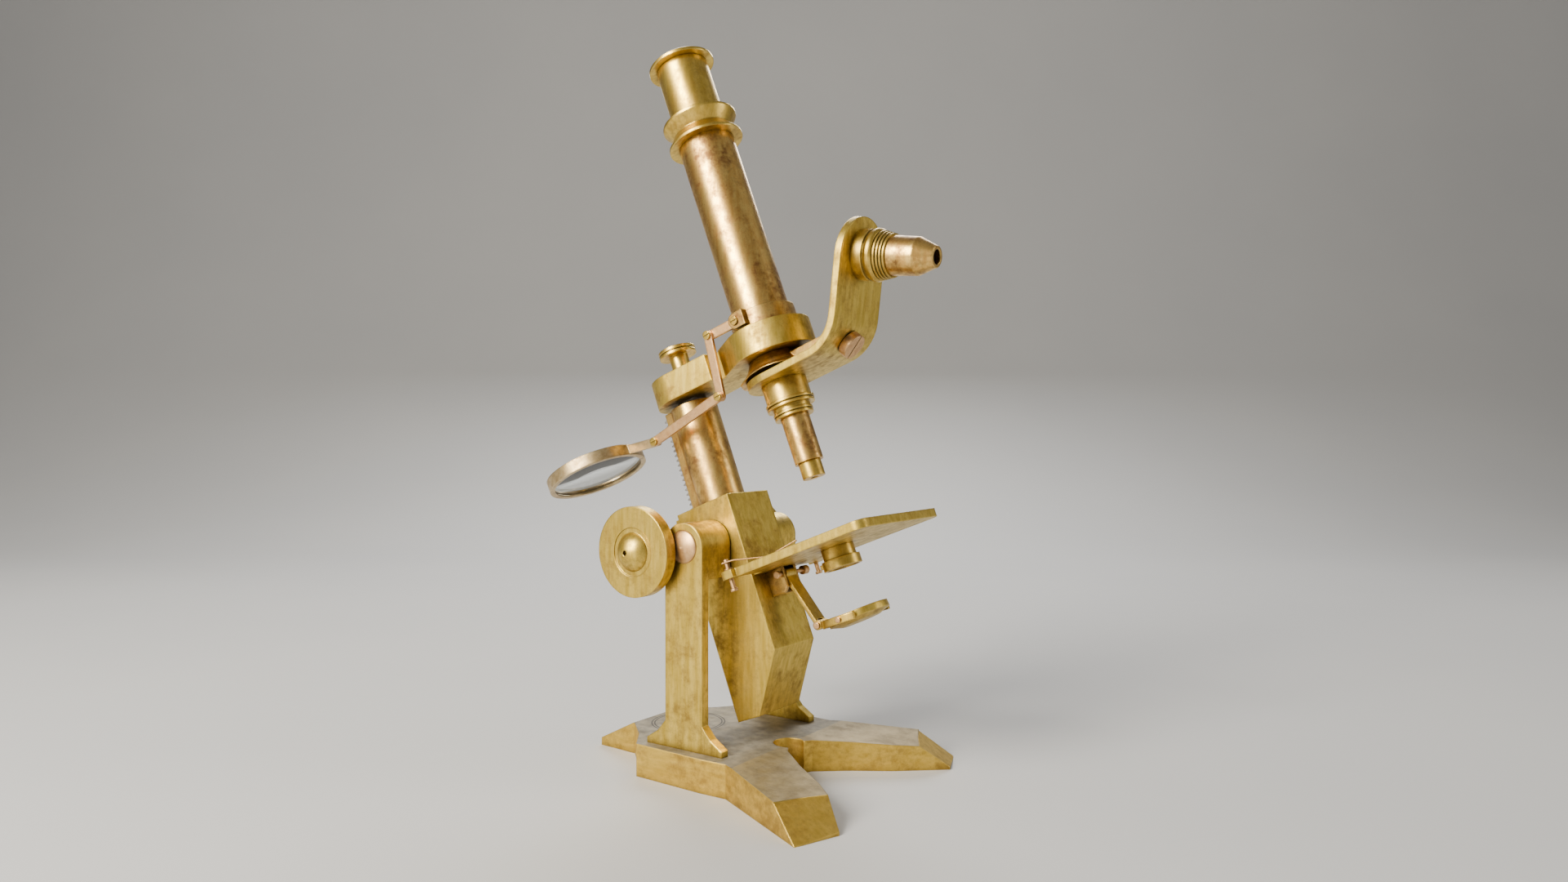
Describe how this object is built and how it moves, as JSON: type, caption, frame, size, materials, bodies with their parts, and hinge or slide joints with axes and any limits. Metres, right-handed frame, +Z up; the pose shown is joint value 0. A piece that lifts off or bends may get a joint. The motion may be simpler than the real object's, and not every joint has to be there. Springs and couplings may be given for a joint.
{
  "type": "compound microscope",
  "caption": "Inclining brass microscope: forked foot, pillars, rack-focused column and arm, body tube, swing-out objectives, hinged mirror and a jointed magnifier.",
  "frame": {"origin": "on the foot's underside, straight below the trunnion axis, in the middle plane", "axes": "+X towards the stage and the open prongs of the foot, +Z up, +Y across to the left seen from behind"},
  "size_m": [0.2035, 0.1384, 0.344],
  "materials": {
    "stand_brass": "aged satin brass with worn edges",
    "knob_brass": "polished, mottled",
    "tube_brass": "rosy lacquer with brown spots",
    "screw_brass": "pink worn brass",
    "steel": "dull bare steel",
    "blackened": "flat black inside the eyepiece",
    "lens_glass": "clear polished",
    "mirror_glass": "silvered glass"
  },
  "bodies": {
    "stand": {"foot": "stand_brass", "left_pillar": "stand_brass", "right_pillar": "stand_brass", "pillar_screws": "steel", "trunnion_screws": "screw_brass"},
    "limb": {"limb_block": "stand_brass", "trunnion_washers": "knob_brass", "pinion_box": "stand_brass", "box_screws": "steel", "stage_plate": "stand_brass", "bracket_screws": "steel", "substage_sleeve": "tube_brass", "stop_nut": "tube_brass", "mirror_bracket": "tube_brass", "arm_pin": "screw_brass"},
    "pinion": {"pinion_shaft": "steel", "left_knob": "knob_brass", "right_knob": "knob_brass"},
    "column": {"column_tube": "stand_brass", "rack": "steel", "fine_nut": "steel"},
    "arm": {"arm": "stand_brass", "arm_stem": "steel", "body_tube": "tube_brass", "tube_collar": "tube_brass", "nosepiece_mount": "tube_brass", "pivot_screw": "screw_brass", "magnifier_clip": "tube_brass", "ear_screw": "screw_brass"},
    "fine_screw": {"fine_screw": "knob_brass", "fine_collar": "steel"},
    "draw_tube": {"draw_tube": "tube_brass"},
    "eyepiece": {"eyepiece_body": "tube_brass", "eye_lens": "lens_glass", "field_stop": "blackened", "field_lens": "lens_glass"},
    "nosepiece": {"nose_plate": "stand_brass", "long_collar": "tube_brass", "long_barrel": "tube_brass", "long_front_cell": "tube_brass", "long_lens": "lens_glass", "short_collar": "tube_brass", "short_barrel": "tube_brass", "short_lens": "lens_glass"},
    "upper_link": {"upper_link": "screw_brass", "upper_link_screw": "screw_brass"},
    "middle_link": {"middle_link": "screw_brass", "middle_link_screw": "screw_brass"},
    "lower_link": {"lower_link": "screw_brass", "lower_link_screw": "screw_brass"},
    "loupe": {"loupe_ring": "screw_brass", "loupe_lens": "lens_glass"},
    "stop_ring": {"stop_ring": "tube_brass"},
    "mirror_arm": {"mirror_arm": "knob_brass", "yoke_pin": "screw_brass"},
    "mirror_yoke": {"mirror_yoke": "knob_brass"},
    "mirror": {"mirror_pivots": "screw_brass", "mirror_cell": "knob_brass", "mirror_glass": "mirror_glass"},
    "left_clip": {"left_clip": "screw_brass"},
    "right_clip": {"right_clip": "screw_brass"}
  },
  "joints": [
    {"name": "incline", "type": "hinge", "parent": "stand", "child": "limb", "pos_m": [0, 0, 0.1068], "axis": [0, -1, 0], "range_deg": [-21.4, 44]},
    {"name": "coarse_focus", "type": "slide", "parent": "limb", "child": "column", "axis": [-0.3649, 0, 0.9311], "range_m": [-0.024, 0.025]},
    {"name": "pinion_turn", "type": "hinge", "parent": "limb", "child": "pinion", "pos_m": [-0.02314, 0, 0.10364], "axis": [0, -1, 0], "range_deg": [-175, 182]},
    {"name": "fine_focus", "type": "slide", "parent": "column", "child": "arm", "axis": [-0.3649, 0, 0.9311], "range_m": [-0.001, 0.001]},
    {"name": "fine_turn", "type": "hinge", "parent": "arm", "child": "fine_screw", "pos_m": [-0.03237, 0, 0.19078], "axis": [-0.3649, 0, 0.9311], "range_deg": [-365, 365]},
    {"name": "draw_slide", "type": "slide", "parent": "arm", "child": "draw_tube", "axis": [-0.3649, 0, 0.9311], "range_m": [-0.025, 0.02]},
    {"name": "eyepiece_slide", "type": "slide", "parent": "draw_tube", "child": "eyepiece", "axis": [-0.3649, 0, 0.9311], "range_m": [0, 0.04]},
    {"name": "nosepiece_turn", "type": "hinge", "parent": "arm", "child": "nosepiece", "pos_m": [0.06012, 0, 0.20103], "axis": [0.7923, 0, -0.6101], "range_deg": [0, 180]},
    {"name": "upper_link_turn", "type": "hinge", "parent": "arm", "child": "upper_link", "pos_m": [0.01524, -0.017, 0.20879], "axis": [0, 1, 0], "range_deg": [0, 25]},
    {"name": "middle_link_turn", "type": "hinge", "parent": "upper_link", "child": "middle_link", "pos_m": [-0.00056, -0.017, 0.20299], "axis": [0, 1, 0], "range_deg": [0, 30]},
    {"name": "lower_link_turn", "type": "hinge", "parent": "middle_link", "child": "lower_link", "pos_m": [0.00704, -0.019, 0.17449], "axis": [0, 1, 0], "range_deg": [0, 30]},
    {"name": "loupe_turn", "type": "hinge", "parent": "lower_link", "child": "loupe", "pos_m": [-0.03176, -0.019, 0.15359], "axis": [0, 1, 0], "range_deg": [-5, 30]},
    {"name": "stop_turn", "type": "hinge", "parent": "limb", "child": "stop_ring", "pos_m": [0.06077, 0, 0.10054], "axis": [-0.3649, 0, 0.9311], "range_deg": [-80, 80]},
    {"name": "mirror_arm_swing", "type": "hinge", "parent": "limb", "child": "mirror_arm", "pos_m": [0.03166, 0, 0.09343], "axis": [0, -1, 0], "range_deg": [-25, 8]},
    {"name": "yoke_swing", "type": "hinge", "parent": "mirror_arm", "child": "mirror_yoke", "pos_m": [0.05008, 0, 0.07165], "axis": [0, -1, 0], "range_deg": [-40, 8]},
    {"name": "mirror_tilt", "type": "hinge", "parent": "mirror_yoke", "child": "mirror", "pos_m": [0.06953, 0, 0.0782], "axis": [0, -1, 0], "range_deg": [-45, 45]},
    {"name": "left_clip_turn", "type": "hinge", "parent": "limb", "child": "left_clip", "pos_m": [0.02416, 0.034, 0.09586], "axis": [-0.3649, 0, 0.9311], "range_deg": [-20, 60]},
    {"name": "right_clip_turn", "type": "hinge", "parent": "limb", "child": "right_clip", "pos_m": [0.02416, -0.034, 0.09586], "axis": [-0.3649, 0, 0.9311], "range_deg": [-60, 20]}
  ],
  "couplings": [
    {"joint": "pinion_turn", "follows": "coarse_focus", "rad_per_m": 125},
    {"joint": "fine_turn", "follows": "fine_focus", "rad_per_m": 6283.2}
  ]
}
